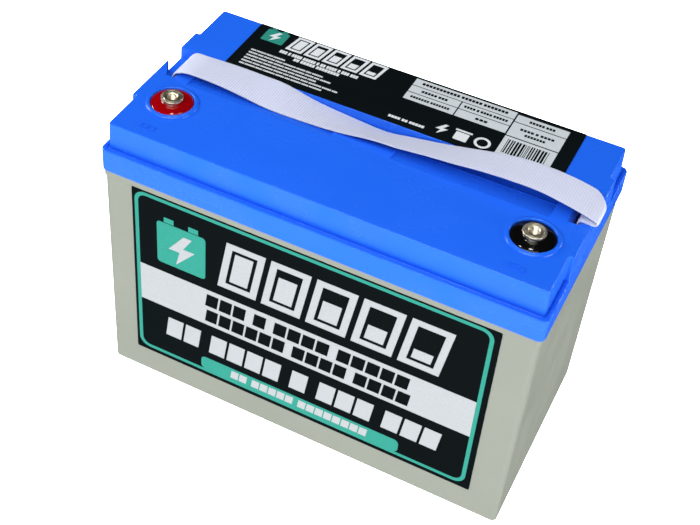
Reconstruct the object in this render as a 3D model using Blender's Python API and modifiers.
"""Sealed deep cycle battery with a webbing carry strap, as an assembly of separate pieces.

Metres, +Z up. The origin is the middle of the base. +X runs along the length, towards the
negative terminal, and -Y is the front, the side with the large label.
"""

import math

import bmesh
import bpy
from mathutils import Matrix, Vector

MM = 0.001
GAP = 0.3 * MM

# Overall sizes
LENGTH = 330 * MM
WIDTH = 172 * MM
BAND_BOTTOM = 197 * MM
BAND_TOP = 215.3 * MM
DECK = 236 * MM
TERMINAL_TOP = 242 * MM

# Case
CASE_INSET = 1.5 * MM
CASE_DRAFT = 1.25 * MM
CASE_WALL = 3.5 * MM
CASE_FLOOR = 4 * MM
CASE_LIP_TOP = 207.5 * MM
CASE_LIP_INSET = 3.2 * MM
CORNER_RADIUS = 5 * MM
RIM_DEPTH = 5.5 * MM
CELL_COUNT = 6
PARTITION = 3 * MM

# Lid
SKIRT = 2.6 * MM
DECK_THICKNESS = 3.5 * MM
GUTTER_DEPTH = 1.5 * MM
GUTTER_EDGE = 3 * MM
PLATFORM_Y = 81 * MM
PLATFORM_X = 161 * MM
MIDDLE_X = 164.5 * MM
MIDDLE_Y = 44.2 * MM
SCOOP_X = (23 * MM, 137 * MM)
SCOOP_FRONT_Y = -15.5 * MM
CHANNEL_FRONT_Y = -9 * MM
CHANNEL_BACK_Y = 20.4 * MM
CHANNEL_FLOOR = 225.6 * MM
SLOT_X = (147 * MM, 156.5 * MM)
SLOT_WAIST_X = 151.2 * MM
SLOT_WAIST_Z = 231 * MM
SLOT_Y = (-12.3 * MM, 22.1 * MM)
SLOT_FLOOR = 216 * MM
NOTCH_FLOOR = 226 * MM
NOTCH_MOUTH_Y = 4.2 * MM

# Terminals
TERMINAL_X = 134.5 * MM
TERMINAL_Y = -38.6 * MM
TERMINAL_RADIUS = 8 * MM
THREAD_RADIUS = 3.4 * MM
WELL_RADIUS = 15.5 * MM
WELL_FLOOR = 227 * MM
RING_RADIUS = 19 * MM
RING_TOP = 237.8 * MM
NECK_RADIUS = 8.8 * MM
NECK_BOTTOM = 222.5 * MM
BOSS_BOTTOM = 216.6 * MM
FLANGE_RADIUS = 12 * MM

# Vent gear under the top label
VENT_X = (115 * MM, 80 * MM, 26.7 * MM)
VENT_Y = 51 * MM
VENT_BAY_X = 126 * MM
VENT_BAY_Y = (27 * MM, 75 * MM)
VENT_BAY_FLOOR = 223.5 * MM
VENT_LEDGE = 3 * MM
COVER_THICKNESS = 2.5 * MM
VALVE_RADIUS = 7 * MM
NOZZLE_RADIUS = 4 * MM
NOZZLE_TOP = 228.5 * MM

# Plates
PLATE_PITCH = 3.85 * MM
PLATE_THICKNESS = 2 * MM
PLATE_Y = 76 * MM
PLATE_BOTTOM = 6.4 * MM
PLATE_TOP = 176 * MM
SEPARATOR_THICKNESS = 1 * MM
BAR_BOTTOM = 181 * MM
BAR_TOP = 188 * MM
BAR_WIDTH = 15 * MM
RISER_TOP = 203 * MM
NUGGET_Z = 196 * MM
NUGGET_RADIUS = 5 * MM

# Strap
STRAP_THICKNESS = 1.5 * MM
STRAP_WIDTH = 30 * MM
STRAP_Y = 5 * MM
PIN_X = 151.5 * MM
PIN_Z = 220.5 * MM
PIN_RADIUS = 2.2 * MM
GRIP_HALF = 40 * MM

# The resting line of the strap: x, height of its middle, and its roll in degrees
STRAP_LINE = [
    (-152.6, 229, 0),
    (-151.4, 235, 0),
    (-147, 238.1, -3),
    (-138, 239.5, -7),
    (-116, 239.8, -5),
    (-95, 238.6, -1),
    (-75, 236.9, 3),
    (-50, 234.2, -7),
    (-22, 233.5, -15),
    (5, 234.6, -24),
    (25, 236.7, -21),
    (46, 239.7, -19),
    (65, 242.5, -15),
    (85, 245.8, -11),
    (105, 248, -7),
    (125, 248.1, -6),
    (141, 246.2, -4),
    (152, 244.1, -3),
    (159.5, 242.6, -2),
    (164.2, 241.4, -1),
    (166.7, 240.4, 0),
    (167.4, 238.8, 0),
    (166.2, 237.4, 0),
    (162.5, 237.1, 0),
    (158.8, 237.1, 0),
    (156.3, 236.9, 0),
    (154.9, 234, 0),
    (154.75, 229, 0),
]

# Labels
FRONT_LABEL = ((-140.2 * MM, 24.5 * MM), (138.6 * MM, 190.9 * MM))
TOP_LABEL = ((-126.9 * MM, 21 * MM), (131.7 * MM, 80 * MM))
LABEL_THICKNESS = 0.3 * MM
LABEL_GAP = 0.1 * MM

MATERIALS = {
    "case_grey": ((0.47, 0.475, 0.42), 0.5, 0.0),
    "lid_blue": ((0.02, 0.15, 0.85), 0.4, 0.0),
    "cover_blue": ((0.02, 0.15, 0.85), 0.4, 0.0),
    "label_black": ((0.015, 0.017, 0.018), 0.35, 0.0),
    "strap_white": ((0.68, 0.66, 0.75), 0.9, 0.0),
    "terminal_brass": ((0.5, 0.45, 0.3), 0.3, 1.0),
    "epoxy_red": ((0.35, 0.0, 0.005), 0.08, 0.0),
    "epoxy_black": ((0.01, 0.01, 0.01), 0.08, 0.0),
    "rubber_black": ((0.02, 0.02, 0.02), 0.7, 0.0),
    "lead": ((0.25, 0.26, 0.28), 0.5, 1.0),
    "plate_brown": ((0.12, 0.06, 0.035), 0.8, 0.0),
    "plate_grey": ((0.3, 0.31, 0.32), 0.8, 0.0),
    "glass_mat": ((0.85, 0.85, 0.82), 0.95, 0.0),
    "felt": ((0.8, 0.8, 0.78), 0.95, 0.0),
    "pin_steel": ((0.5, 0.5, 0.52), 0.3, 1.0),
}


def clear_scene():
    for obj in list(bpy.data.objects):
        bpy.data.objects.remove(obj)


def make_collection(name):
    collection = bpy.data.collections.new(name)
    bpy.context.scene.collection.children.link(collection)
    return collection


def make_materials():
    made = {}
    for name, (colour, roughness, metallic) in MATERIALS.items():
        material = bpy.data.materials.new(name)
        material.use_nodes = True
        shader = material.node_tree.nodes["Principled BSDF"]
        shader.inputs["Base Color"].default_value = (*colour, 1)
        shader.inputs["Roughness"].default_value = roughness
        shader.inputs["Metallic"].default_value = metallic
        made[name] = material
    return made


clear_scene()
PARTS = make_collection("deep_cycle_battery")
CUTTERS = make_collection("cutters")
SHADE = make_materials()


# ---------------------------------------------------------------- helpers


def add_object(name, mesh, material=None):
    """Links a mesh as a part, or as a hidden cutter when it has no material."""
    obj = bpy.data.objects.new(name, mesh)
    if material:
        mesh.materials.clear()
        mesh.materials.append(SHADE[material])
        PARTS.objects.link(obj)
    else:
        obj.hide_render = True
        obj.display_type = "WIRE"
        CUTTERS.objects.link(obj)
    return obj


def mesh_from(bm, name, smooth=False):
    mesh = bpy.data.meshes.new(name)
    bm.to_mesh(mesh)
    bm.free()
    if smooth:
        mesh.shade_smooth()
        mesh.set_sharp_from_angle(angle=math.radians(35))
    return mesh


def box_bm(low, high):
    bm = bmesh.new()
    bmesh.ops.create_cube(bm, size=1)
    low, high = Vector(low), Vector(high)
    for vert in bm.verts:
        vert.co = Vector(
            low[k] + (vert.co[k] + 0.5) * (high[k] - low[k]) for k in range(3)
        )
    return bm


def round_upright_edges(bm, radius, segments):
    upright = [
        edge
        for edge in bm.edges
        if abs(edge.verts[0].co.z - edge.verts[1].co.z) > 1e-5
        and abs(edge.verts[0].co.x - edge.verts[1].co.x) < 5 * MM
    ]
    bmesh.ops.bevel(
        bm,
        geom=upright,
        offset=radius,
        segments=segments,
        profile=0.5,
        affect="EDGES",
    )


def box(name, low, high, material=None, radius=0, segments=3):
    """A box between two corners, with rounded upright edges where a radius is given."""
    bm = box_bm(low, high)
    if radius:
        round_upright_edges(bm, radius, segments)
    return add_object(name, mesh_from(bm, name), material)


def centred_box(
    name, half_x, half_y, bottom, top, material=None, radius=0, segments=3
):
    low, high = (-half_x, -half_y, bottom), (half_x, half_y, top)
    return box(name, low, high, material, radius, segments)


def cylinder(name, radius, start, end, material=None, sides=24, axis="Z"):
    """A closed cylinder from start to end, two points on a line along the axis."""
    bm = bmesh.new()
    start, end = Vector(start), Vector(end)
    turn = Matrix.Identity(4)
    if axis == "Y":
        turn = Matrix.Rotation(math.radians(90), 4, "X")
    if axis == "X":
        turn = Matrix.Rotation(math.radians(90), 4, "Y")
    place = Matrix.Translation((start + end) / 2) @ turn
    bmesh.ops.create_cone(
        bm,
        cap_ends=True,
        segments=sides,
        radius1=radius,
        radius2=radius,
        depth=(end - start).length,
        matrix=place,
    )
    return add_object(name, mesh_from(bm, name, smooth=True), material)


def prism(name, outline, low, high, axis="Z", material=None):
    """An outline extruded along an axis: Z takes (x, y) points, Y (x, z), and X (y, z)."""
    bm = bmesh.new()
    order = {
        "Z": lambda a, b, c: (a, b, c),
        "Y": lambda a, b, c: (a, c, b),
        "X": lambda a, b, c: (c, a, b),
    }[axis]
    face = bm.faces.new([bm.verts.new(order(a, b, low)) for a, b in outline])
    grown = bmesh.ops.extrude_face_region(bm, geom=[face])
    for item in grown["geom"]:
        if isinstance(item, bmesh.types.BMVert):
            item.co += Vector(order(0, 0, high - low))
    bmesh.ops.recalc_face_normals(bm, faces=bm.faces[:])
    return add_object(name, mesh_from(bm, name), material)


def turned(name, profile, centre, material=None, steps=24, closed=False):
    """A profile of (radius, height) points turned about Z: it runs down its outer side."""
    mesh = bpy.data.meshes.new(name)
    points = [(r, 0, z) for r, z in profile]
    edges = [(i, i + 1) for i in range(len(points) - 1)]
    if closed:
        edges.append((len(points) - 1, 0))
    mesh.from_pydata(points, edges, [])
    obj = add_object(name, mesh, material)
    obj.location = centre
    screw = obj.modifiers.new("turn", "SCREW")
    screw.steps = steps
    screw.render_steps = steps
    screw.use_merge_vertices = True
    screw.merge_threshold = 0.00001
    screw.use_smooth_shade = True
    return obj


def boolean(target, operation, *others):
    for other in others:
        modifier = target.modifiers.new(other.name, "BOOLEAN")
        modifier.operation = operation
        modifier.object = other
        modifier.solver = "EXACT"


def join_to(target, *others):
    boolean(target, "UNION", *others)


def cut_from(target, *others):
    boolean(target, "DIFFERENCE", *others)


def evaluated_mesh(obj, name):
    bpy.context.view_layer.update()
    graph = bpy.context.evaluated_depsgraph_get()
    return bpy.data.meshes.new_from_object(obj.evaluated_get(graph))


# ---------------------------------------------------------------- cell layout

CASE_TOP_X = LENGTH / 2 - CASE_INSET
CASE_TOP_Y = WIDTH / 2 - CASE_INSET
INNER_X = CASE_TOP_X - CASE_DRAFT - CASE_WALL
INNER_Y = CASE_TOP_Y - CASE_DRAFT - CASE_WALL
CELL_PITCH = (2 * INNER_X + PARTITION) / CELL_COUNT
CELL_HALF = (CELL_PITCH - PARTITION) / 2


def cell_x(index):
    return (index - (CELL_COUNT - 1) / 2) * CELL_PITCH


def partition_x(index):
    return cell_x(index) + CELL_PITCH / 2


def join_y(index):
    """The connectors alternate between the back and the front of the case."""
    return -TERMINAL_Y if index % 2 == 0 else TERMINAL_Y


# ---------------------------------------------------------------- case


def tapered_case_shell():
    """The outer body: drafted sides, round upright corners and a softened bottom edge."""
    bm = box_bm((-CASE_TOP_X, -CASE_TOP_Y, 0), (CASE_TOP_X, CASE_TOP_Y, BAND_BOTTOM - GAP))
    for vert in bm.verts:
        if vert.co.z < MM:
            vert.co.x -= math.copysign(CASE_DRAFT, vert.co.x)
            vert.co.y -= math.copysign(CASE_DRAFT, vert.co.y)
    round_upright_edges(bm, CORNER_RADIUS, 4)
    foot = [edge for edge in bm.edges if all(v.co.z < 1e-6 for v in edge.verts)]
    bmesh.ops.bevel(bm, geom=foot, offset=2 * MM, segments=2, profile=0.5, affect="EDGES")
    return add_object("case", mesh_from(bm, "case", smooth=True), "case_grey")


def build_case():
    case = tapered_case_shell()
    rim = centred_box(
        "case_rim",
        CASE_TOP_X + 0.6 * MM,
        CASE_TOP_Y + 0.6 * MM,
        BAND_BOTTOM - RIM_DEPTH,
        BAND_BOTTOM - GAP,
        radius=CORNER_RADIUS,
    )
    lip = centred_box(
        "case_lip",
        LENGTH / 2 - CASE_LIP_INSET,
        WIDTH / 2 - CASE_LIP_INSET,
        BAND_BOTTOM - 2 * MM,
        CASE_LIP_TOP,
        radius=CORNER_RADIUS - 2 * MM,
    )
    join_to(case, rim, lip)
    for index in range(CELL_COUNT):
        middle = cell_x(index)
        hollow = box(
            f"cell_hollow_{index + 1}",
            (middle - CELL_HALF, -INNER_Y, CASE_FLOOR),
            (middle + CELL_HALF, INNER_Y, CASE_LIP_TOP + MM),
        )
        cut_from(case, hollow)
    for index in range(CELL_COUNT - 1):
        at = (partition_x(index), join_y(index), NUGGET_Z)
        hole = cylinder(
            f"partition_hole_{index + 1}",
            NUGGET_RADIUS + GAP,
            (at[0] - PARTITION, at[1], at[2]),
            (at[0] + PARTITION, at[1], at[2]),
            sides=16,
            axis="X",
        )
        cut_from(case, hole)
    return case


# ---------------------------------------------------------------- plates


def plate_positions(polarity):
    """Seven negative plates with six positive plates between them."""
    count = 7 if polarity == "negative" else 6
    return [(k - (count - 1) / 2) * 2 * PLATE_PITCH for k in range(count)]


def bar_y(polarity, index):
    """The first cell's positive bar is under its terminal, and the cells alternate."""
    front = (polarity == "positive") == (index % 2 == 0)
    return TERMINAL_Y if front else -TERMINAL_Y


def plate_stack_mesh(polarity, side, riser_side):
    """Plates hanging from one cast bar, with a riser where it meets the next cell."""
    places = plate_positions(polarity)
    bm = bmesh.new()
    for x in places:
        low = Vector((x - PLATE_THICKNESS / 2, -PLATE_Y, PLATE_BOTTOM))
        high = Vector((x + PLATE_THICKNESS / 2, PLATE_Y, PLATE_TOP))
        placed = Matrix.Translation((low + high) / 2) @ Matrix.Diagonal((*(high - low), 1))
        bmesh.ops.create_cube(bm, size=1, matrix=placed)
    plates = add_object(f"{polarity}_plates", mesh_from(bm, f"{polarity}_plates"))
    half_bar = CELL_HALF - 0.5 * MM
    outline = [(-half_bar, BAR_TOP), (-half_bar, BAR_BOTTOM)]
    for x in places:
        outline.append((x - PLATE_THICKNESS / 2 + 0.2 * MM, BAR_BOTTOM))
        outline.append((x - PLATE_THICKNESS / 2 + 0.2 * MM, PLATE_TOP - 2 * MM))
        outline.append((x + PLATE_THICKNESS / 2 - 0.2 * MM, PLATE_TOP - 2 * MM))
        outline.append((x + PLATE_THICKNESS / 2 - 0.2 * MM, BAR_BOTTOM))
    outline += [(half_bar, BAR_BOTTOM), (half_bar, BAR_TOP)]
    riser = [(half_bar, RISER_TOP), (half_bar - 4 * MM, RISER_TOP), (half_bar - 4 * MM, BAR_TOP)]
    if riser_side > 0:
        outline = outline[:-1] + riser
    if riser_side < 0:
        mirrored = [(-x, z) for x, z in reversed(riser)]
        outline = mirrored + outline[1:]
    bar = prism(
        f"{polarity}_bar", outline, side - BAR_WIDTH / 2, side + BAR_WIDTH / 2, axis="Y"
    )
    join_to(plates, bar)
    return evaluated_mesh(plates, f"{polarity}_plate_group")


def folded_strip(points, half):
    """The outline of a strip of even thickness along a line with square corners."""
    left, right = [], []
    for k, point in enumerate(points):
        shift = Vector((0, 0))
        for first, second in zip(points[max(k - 1, 0) : k + 1], points[max(k - 1, 0) + 1 : k + 2]):
            way = (Vector(second) - Vector(first)).normalized()
            shift += half * Vector((-way.y, way.x))
        left.append(tuple(Vector(point) + shift))
        right.append(tuple(Vector(point) - shift))
    return left + right[::-1]


def mat_outline():
    """One mat, folded to and fro between the plates."""
    end = PLATE_Y + 2.2 * MM
    line = []
    for k in range(12):
        x = (k - 5.5) * PLATE_PITCH
        near, far = (-end, end) if k % 2 == 0 else (end, -end)
        line += [(x, near), (x, far)]
    return folded_strip(line, SEPARATOR_THICKNESS / 2)


def build_cells():
    colours = {"positive": "plate_brown", "negative": "plate_grey"}
    risers = {"positive": -1, "negative": 1}
    first_and_last = {("positive", 0), ("negative", CELL_COUNT - 1)}
    groups = {}
    outline = mat_outline()
    first_mat = prism(
        "glass_mat_1", outline, PLATE_BOTTOM - 2 * MM, PLATE_TOP + 2 * MM, material="glass_mat"
    )
    first_mat.location.x = cell_x(0)
    for index in range(CELL_COUNT):
        for kind in ("positive", "negative"):
            riser_side = 0 if (kind, index) in first_and_last else risers[kind]
            key = (kind, bar_y(kind, index), riser_side)
            if key not in groups:
                groups[key] = plate_stack_mesh(*key)
            obj = add_object(f"{kind}_plates_{index + 1}", groups[key], colours[kind])
            obj.location.x = cell_x(index)
        if index:
            mat = add_object(f"glass_mat_{index + 1}", first_mat.data, "glass_mat")
            mat.location.x = cell_x(index)


def build_connectors():
    """Lead nuggets welded through the partitions from riser to riser."""
    reach = PARTITION / 2 + 0.2 * MM
    for index in range(CELL_COUNT - 1):
        x, y = partition_x(index), join_y(index)
        cylinder(
            f"cell_connector_{index + 1}",
            NUGGET_RADIUS,
            (x - reach, y, NUGGET_Z),
            (x + reach, y, NUGGET_Z),
            "lead",
            sides=16,
            axis="X",
        )


# ---------------------------------------------------------------- lid


def both_ends(make):
    """Calls a maker for the left end and the right end."""
    return [make("left", -1), make("right", 1)]


def mirrored_outline(outline, side):
    return [(side * x, y) for x, y in outline]


def strap_slot(name, side):
    """The strap goes down past a sloping lip into the wider room for its anchor pin."""
    x0, x1 = SLOT_X
    outline = [
        (x0, SLOT_FLOOR),
        (x1, SLOT_FLOOR),
        (x1, DECK + 5 * MM),
        (x0, DECK + 5 * MM),
        (x0, DECK),
        (SLOT_WAIST_X, SLOT_WAIST_Z),
        (SLOT_WAIST_X, NOTCH_FLOOR),
        (x0, NOTCH_FLOOR),
    ]
    return prism(f"{name}_slot", mirrored_outline(outline, side), *SLOT_Y, axis="Y")


def end_notch(name, side):
    """The open notch beside the slot: narrower at its mouth than at the slot."""
    outside = LENGTH / 2 + 2 * MM
    inner = SLOT_X[1] - 0.5 * MM
    outline = [
        (inner, SLOT_Y[0] + 2 * MM),
        (SLOT_X[1] + MM, SLOT_Y[0] + 4 * MM),
        (MIDDLE_X - MM, NOTCH_MOUTH_Y - MM),
        (MIDDLE_X - MM, NOTCH_MOUTH_Y),
        (outside, NOTCH_MOUTH_Y),
        (outside, SLOT_Y[1]),
        (inner, SLOT_Y[1]),
    ]
    return prism(
        f"{name}_notch", mirrored_outline(outline, side), NOTCH_FLOOR, DECK + 5 * MM
    )


def slot_block(name, side):
    """Solid walls round the strap slot, reaching below the deck."""
    low_x, high_x = sorted((side * (SLOT_X[0] - 3 * MM), side * (SLOT_X[1] + 3 * MM)))
    low = (low_x, SLOT_Y[0] - 6 * MM, SLOT_FLOOR - 2.5 * MM)
    high = (high_x, SLOT_Y[1] + 6 * MM, DECK - MM)
    return box(f"{name}_slot_block", low, high)


def pin_hole(name, side):
    at = (side * PIN_X, 0, PIN_Z)
    return cylinder(
        f"{name}_pin_hole",
        PIN_RADIUS + GAP,
        (at[0], SLOT_Y[0] - 3.8 * MM, at[2]),
        (at[0], SLOT_Y[1] + 3.8 * MM, at[2]),
        sides=16,
        axis="Y",
    )


def scoop(name, low_x, high_x):
    """A finger recess: a shallow dish that runs down from the front to the channel."""
    outline = [
        (SCOOP_FRONT_Y, DECK),
        (SCOOP_FRONT_Y + 5 * MM, DECK - 1.1 * MM),
        (SCOOP_FRONT_Y + 12 * MM, DECK - 2.3 * MM),
        (SCOOP_FRONT_Y + 18 * MM, DECK - 3.7 * MM),
        (SCOOP_FRONT_Y + 18 * MM, DECK + 5 * MM),
        (SCOOP_FRONT_Y, DECK + 5 * MM),
    ]
    return prism(name, outline, low_x, high_x, axis="X")


def channel_cutter():
    """The strap channel: a sloping front and an upright back wall."""
    outline = [
        (CHANNEL_FRONT_Y, DECK + 5 * MM),
        (CHANNEL_FRONT_Y, DECK),
        (CHANNEL_FRONT_Y + 7 * MM, DECK - 1.8 * MM),
        (CHANNEL_FRONT_Y + 12 * MM, DECK - 3.9 * MM),
        (CHANNEL_FRONT_Y + 18 * MM, CHANNEL_FLOOR + 0.7 * MM),
        (CHANNEL_FRONT_Y + 19.5 * MM, CHANNEL_FLOOR),
        (CHANNEL_BACK_Y, CHANNEL_FLOOR),
        (CHANNEL_BACK_Y, DECK + 5 * MM),
    ]
    return prism("channel", outline, -SCOOP_X[1], SCOOP_X[1], axis="X")


def polarity_mark(name, side):
    """A raised frame round a plus or a minus."""
    x0, x1 = sorted((side * 129.2 * MM, side * 140.2 * MM))
    y0, y1 = -72.8 * MM, -67.6 * MM
    top = DECK + 0.6 * MM
    line = 0.8 * MM
    pieces = [
        box(f"{name}_frame_front", (x0, y0, DECK - MM), (x1, y0 + line, top)),
        box(f"{name}_frame_back", (x0, y1 - line, DECK - MM), (x1, y1, top)),
        box(f"{name}_frame_left", (x0, y0, DECK - MM), (x0 + line, y1, top)),
        box(f"{name}_frame_right", (x1 - line, y0, DECK - MM), (x1, y1, top)),
    ]
    middle = ((x0 + x1) / 2, (y0 + y1) / 2)
    arm = 1.4 * MM
    half = 0.35 * MM
    pieces.append(
        box(
            f"{name}_bar",
            (middle[0] - arm, middle[1] - half, DECK - MM),
            (middle[0] + arm, middle[1] + half, top),
        )
    )
    if side < 0:
        pieces.append(
            box(
                f"{name}_upright",
                (middle[0] - half, middle[1] - arm, DECK - MM),
                (middle[0] + half, middle[1] + arm, top),
            )
        )
    return pieces


def lid_hollows():
    """Gas space over each cell, higher under the front deck than under the channel."""
    inside_y = WIDTH / 2 - CASE_LIP_INSET - CASE_WALL - MM
    made = []
    for index in range(CELL_COUNT):
        middle = cell_x(index)
        low_x, high_x = middle - CELL_HALF, middle + CELL_HALF
        made.append(
            box(
                f"gas_space_{index + 1}",
                (low_x, -inside_y, BAND_BOTTOM),
                (high_x, inside_y, VENT_BAY_FLOOR - DECK_THICKNESS),
            )
        )
        made.append(
            box(
                f"front_gas_space_{index + 1}",
                (low_x, -PLATFORM_Y + DECK_THICKNESS, BAND_BOTTOM),
                (high_x, SCOOP_FRONT_Y - DECK_THICKNESS, DECK - DECK_THICKNESS),
            )
        )
    return made


def vent_positions():
    return [-VENT_X[0], -VENT_X[1], -VENT_X[2], VENT_X[2], VENT_X[1], VENT_X[0]]


def build_lid():
    lid = centred_box(
        "lid",
        LENGTH / 2,
        WIDTH / 2,
        BAND_BOTTOM,
        BAND_TOP - GUTTER_DEPTH,
        "lid_blue",
        radius=CORNER_RADIUS,
        segments=4,
    )
    rim = centred_box(
        "gutter_rim",
        LENGTH / 2,
        WIDTH / 2,
        BAND_TOP - GUTTER_DEPTH - MM,
        BAND_TOP,
        radius=CORNER_RADIUS,
        segments=4,
    )
    rim_inside = centred_box(
        "gutter_inside",
        LENGTH / 2 - GUTTER_EDGE + 0.6 * MM,
        WIDTH / 2 - GUTTER_EDGE,
        BAND_TOP - GUTTER_DEPTH - 2 * MM,
        BAND_TOP + MM,
        radius=3 * MM,
    )
    cut_from(rim, rim_inside)
    low = BAND_TOP - GUTTER_DEPTH - MM
    platform = centred_box("platform", PLATFORM_X, PLATFORM_Y, low, DECK, radius=3 * MM)
    middle = centred_box("platform_middle", MIDDLE_X, MIDDLE_Y, low, DECK, radius=MM)
    join_to(lid, rim, platform, middle)
    skirt_room = centred_box(
        "skirt_room",
        LENGTH / 2 - SKIRT,
        WIDTH / 2 - SKIRT,
        BAND_BOTTOM - MM,
        CASE_LIP_TOP + 0.5 * MM,
        radius=CORNER_RADIUS - 1.5 * MM,
    )
    cut_from(lid, skirt_room, *lid_hollows())
    build_lid_channel(lid)
    build_lid_wells(lid)
    build_lid_vents(lid)
    return lid


def build_lid_channel(lid):
    join_to(lid, *both_ends(slot_block))
    roof = box(
        "channel_roof",
        (-SCOOP_X[1] - 4 * MM, SCOOP_FRONT_Y - 4 * MM, VENT_BAY_FLOOR - DECK_THICKNESS - MM),
        (SCOOP_X[1] + 4 * MM, CHANNEL_BACK_Y + 4 * MM, DECK - 4 * MM),
    )
    join_to(lid, roof)
    cut_from(lid, channel_cutter())
    cut_from(lid, scoop("left_scoop", -SCOOP_X[1], -SCOOP_X[0]))
    cut_from(lid, scoop("right_scoop", SCOOP_X[0], SCOOP_X[1]))
    cut_from(lid, *both_ends(strap_slot))
    cut_from(lid, *both_ends(end_notch))
    cut_from(lid, *both_ends(pin_hole))


def build_lid_wells(lid):
    for name, side in (("positive", -1), ("negative", 1)):
        at = (side * TERMINAL_X, TERMINAL_Y)
        boss = cylinder(f"{name}_boss", RING_RADIUS, (*at, BOSS_BOTTOM), (*at, RING_TOP), sides=48)
        join_to(lid, boss)
        profile = [
            (0, RING_TOP + MM),
            (WELL_RADIUS, RING_TOP + MM),
            (WELL_RADIUS, WELL_FLOOR),
            (NECK_RADIUS, WELL_FLOOR),
            (NECK_RADIUS, NECK_BOTTOM),
            (FLANGE_RADIUS + GAP, NECK_BOTTOM),
            (FLANGE_RADIUS + GAP, BOSS_BOTTOM - MM),
            (0, BOSS_BOTTOM - MM),
        ]
        cut_from(lid, turned(f"{name}_well", profile, (*at, 0), steps=48))
        join_to(lid, *polarity_mark(f"{name}_mark", side))


def build_lid_vents(lid):
    y0, y1 = VENT_BAY_Y
    ledge_z = DECK - COVER_THICKNESS - GAP
    bay = box(
        "vent_bay",
        (-VENT_BAY_X + VENT_LEDGE, y0 + VENT_LEDGE, VENT_BAY_FLOOR),
        (VENT_BAY_X - VENT_LEDGE, y1 - VENT_LEDGE, DECK + MM),
    )
    seat = box("cover_seat", (-VENT_BAY_X, y0, ledge_z), (VENT_BAY_X, y1, DECK + MM))
    cut_from(lid, bay, seat)
    for number, x in enumerate(vent_positions(), 1):
        foot = (x, VENT_Y, VENT_BAY_FLOOR - MM)
        nozzle = cylinder(
            f"nozzle_{number}", NOZZLE_RADIUS, foot, (x, VENT_Y, NOZZLE_TOP), sides=16
        )
        join_to(lid, nozzle)
        bore = cylinder(
            f"nozzle_bore_{number}",
            2 * MM,
            (x, VENT_Y, VENT_BAY_FLOOR - 2 * DECK_THICKNESS),
            (x, VENT_Y, NOZZLE_TOP + MM),
            sides=12,
        )
        cut_from(lid, bore)


# ---------------------------------------------------------------- vent gear


def build_vents():
    cover_bottom = DECK - COVER_THICKNESS
    box(
        "vent_cover",
        (-VENT_BAY_X + GAP, VENT_BAY_Y[0] + GAP, cover_bottom),
        (VENT_BAY_X - GAP, VENT_BAY_Y[1] - GAP, DECK),
        "cover_blue",
        radius=MM,
        segments=1,
    )
    felt_edge = VENT_LEDGE + 0.6 * MM
    box(
        "vent_felt",
        (-VENT_BAY_X + felt_edge, VENT_Y - 10 * MM, cover_bottom - 1.6 * MM),
        (VENT_BAY_X - felt_edge, VENT_Y + 10 * MM, cover_bottom - GAP),
        "felt",
    )
    low = VENT_BAY_FLOOR + GAP
    top = NOZZLE_TOP + 2 * MM
    inner = NOZZLE_RADIUS + GAP
    profile = [
        (0, top),
        (VALVE_RADIUS - MM, top),
        (VALVE_RADIUS, top - MM),
        (VALVE_RADIUS, low),
        (inner, low),
        (inner, NOZZLE_TOP + GAP),
        (0, NOZZLE_TOP + GAP),
    ]
    for number, x in enumerate(vent_positions(), 1):
        turned(f"safety_valve_{number}", profile, (x, VENT_Y, 0), "rubber_black", steps=20)


# ---------------------------------------------------------------- terminals


def build_terminals():
    flange_bottom = BOSS_BOTTOM + 0.4 * MM
    flange_top = flange_bottom + 2.6 * MM
    chamfer = 0.7 * MM
    shaft = TERMINAL_RADIUS
    insert = [
        (0, WELL_FLOOR + MM),
        (THREAD_RADIUS, WELL_FLOOR + MM),
        (THREAD_RADIUS, TERMINAL_TOP - chamfer),
        (THREAD_RADIUS + chamfer, TERMINAL_TOP),
        (TERMINAL_RADIUS - chamfer, TERMINAL_TOP),
        (TERMINAL_RADIUS, TERMINAL_TOP - chamfer),
        (shaft, flange_top),
        (FLANGE_RADIUS - GAP, flange_top),
        (FLANGE_RADIUS - GAP, flange_bottom),
        (0, flange_bottom),
    ]
    seal = [
        (shaft + GAP, WELL_FLOOR + 11.2 * MM),
        (shaft + 1.5 * MM, WELL_FLOOR + 10.7 * MM),
        (WELL_RADIUS - 3 * MM, WELL_FLOOR + 10.2 * MM),
        (WELL_RADIUS - GAP, WELL_FLOOR + 10.1 * MM),
        (WELL_RADIUS - GAP, WELL_FLOOR + GAP),
        (shaft + GAP, WELL_FLOOR + GAP),
    ]
    ring_z = (flange_top + NECK_BOTTOM) / 2
    ring_r = 1.3 * MM
    ring = [
        (shaft + GAP + ring_r + ring_r * math.sin(a), ring_z + ring_r * math.cos(a))
        for a in (math.tau * k / 10 for k in range(10))
    ]
    post_top = flange_bottom - GAP
    post = [
        (0, post_top),
        (7 * MM, post_top),
        (8 * MM, BAR_TOP + GAP + 4 * MM),
        (7.2 * MM, BAR_TOP + GAP),
        (0, BAR_TOP + GAP),
    ]
    for name, side, epoxy in (("positive", -1, "epoxy_red"), ("negative", 1, "epoxy_black")):
        at = (side * TERMINAL_X, TERMINAL_Y, 0)
        turned(f"{name}_terminal", insert, at, "terminal_brass")
        turned(f"{name}_terminal_seal", seal, at, epoxy, closed=True)
        turned(f"{name}_o_ring", ring, at, "rubber_black", closed=True)
        turned(f"{name}_post", post, at, "lead", steps=20)


# ---------------------------------------------------------------- strap


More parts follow.
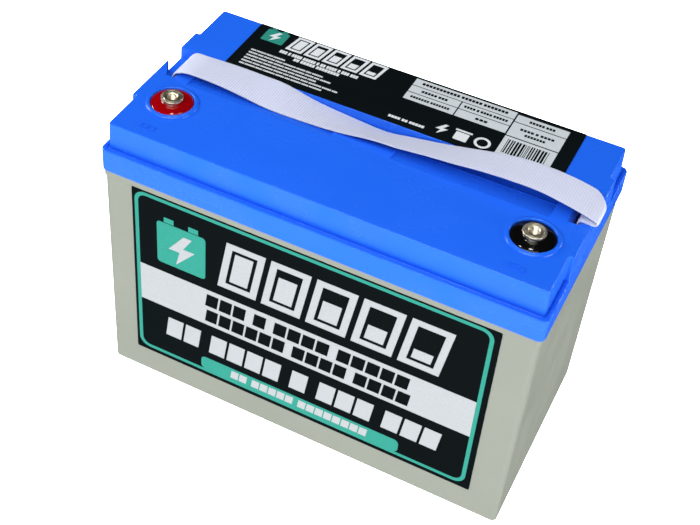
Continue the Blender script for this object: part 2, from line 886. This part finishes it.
def catmull(points, spans):
    """Points on a smooth curve through the given ones, a fixed number for each span."""
    made = []
    last = len(points) - 1
    for k in range(last):
        before = points[max(k - 1, 0)]
        start, end = points[k], points[k + 1]
        after = points[min(k + 2, last)]
        for step in range(spans):
            t = step / spans
            made.append(
                tuple(
                    0.5
                    * (
                        2 * s
                        + (e - b) * t
                        + (2 * b - 5 * s + 4 * e - a) * t * t
                        + (3 * s - b - 3 * e + a) * t**3
                    )
                    for b, s, e, a in zip(before, start, end, after)
                )
            )
    made.append(tuple(points[last]))
    return made


def ribbon(name, stations, material):
    """A flat band through stations of (x, z, roll), as one closed body."""
    half = STRAP_WIDTH / 2
    thick = STRAP_THICKNESS / 2
    bm = bmesh.new()
    rings = []
    for k, (x, z, roll) in enumerate(stations):
        before = stations[max(k - 1, 0)]
        after = stations[min(k + 1, len(stations) - 1)]
        along = Vector((after[0] - before[0], 0, after[1] - before[1])).normalized()
        across = Vector((0, math.cos(roll), math.sin(roll)))
        normal = along.cross(across).normalized()
        middle = Vector((x, STRAP_Y, z))
        corners = [(-1, -1), (1, -1), (1, 1), (-1, 1)]
        rings.append(
            [
                bm.verts.new(middle + across * half * a + normal * thick * b)
                for a, b in corners
            ]
        )
    for first, second in zip(rings, rings[1:]):
        for k in range(4):
            n = (k + 1) % 4
            bm.faces.new((first[k], first[n], second[n], second[k]))
    bm.faces.new(rings[0])
    bm.faces.new(rings[-1])
    bmesh.ops.recalc_face_normals(bm, faces=bm.faces[:])
    return add_object(name, mesh_from(bm, name, smooth=True), material)


def loop_round_pin(side):
    """The strap's end, from its free tail down round the pin and up to the slot's mouth."""
    radius = PIN_RADIUS + GAP + STRAP_THICKNESS / 2
    tail = [(side * (PIN_X - radius), PIN_Z + 3 * MM, 0)]
    arc = [
        (side * (PIN_X - radius * math.cos(a)), PIN_Z - radius * math.sin(a), 0)
        for a in (math.pi * k / 6 for k in range(7))
    ]
    return tail + arc


def part_way(first, second, share):
    return tuple(a + (b - a) * share for a, b in zip(first, second))


def build_strap():
    """Three lengths of one band: the middle lifts, and a run on each side follows it."""
    line = [(x * MM, z * MM, math.radians(roll)) for x, z, roll in STRAP_LINE]
    smooth = catmull(line, 3)
    first = max(k for k, station in enumerate(smooth) if station[0] < -GRIP_HALF)
    last = min(k for k, station in enumerate(smooth) if station[0] > GRIP_HALF)
    grip = smooth[first : last + 1]
    grip[0] = part_way(grip[0], grip[1], 0.1)
    grip[-1] = part_way(grip[-1], grip[-2], 0.1)
    left = loop_round_pin(-1) + smooth[: first + 1]
    right = smooth[last:] + loop_round_pin(1)[::-1]
    ribbon("strap_left_run", left, "strap_white")
    ribbon("strap_grip", grip, "strap_white")
    ribbon("strap_right_run", right, "strap_white")
    for name, side in (("left", -1), ("right", 1)):
        cylinder(
            f"{name}_anchor_pin",
            PIN_RADIUS,
            (side * PIN_X, SLOT_Y[0] - 3.5 * MM, PIN_Z),
            (side * PIN_X, SLOT_Y[1] + 3.5 * MM, PIN_Z),
            "pin_steel",
            sides=16,
            axis="Y",
        )


# ---------------------------------------------------------------- labels


def build_labels():
    (x0, z0), (x1, z1) = FRONT_LABEL
    slope = math.atan2(CASE_DRAFT, BAND_BOTTOM)
    face = CASE_TOP_Y - CASE_DRAFT
    bm = box_bm((x0, -LABEL_THICKNESS - LABEL_GAP, z0), (x1, -LABEL_GAP, z1))
    label = add_object("front_label", mesh_from(bm, "front_label"), "label_black")
    label.location.y = -face
    label.rotation_euler.x = slope
    (x0, y0), (x1, y1) = TOP_LABEL
    low = DECK + LABEL_GAP
    box("top_label", (x0, y0, low), (x1, y1, low + LABEL_THICKNESS), "label_black")


build_case()
build_cells()
build_connectors()
build_lid()
build_vents()
build_terminals()
build_strap()
build_labels()
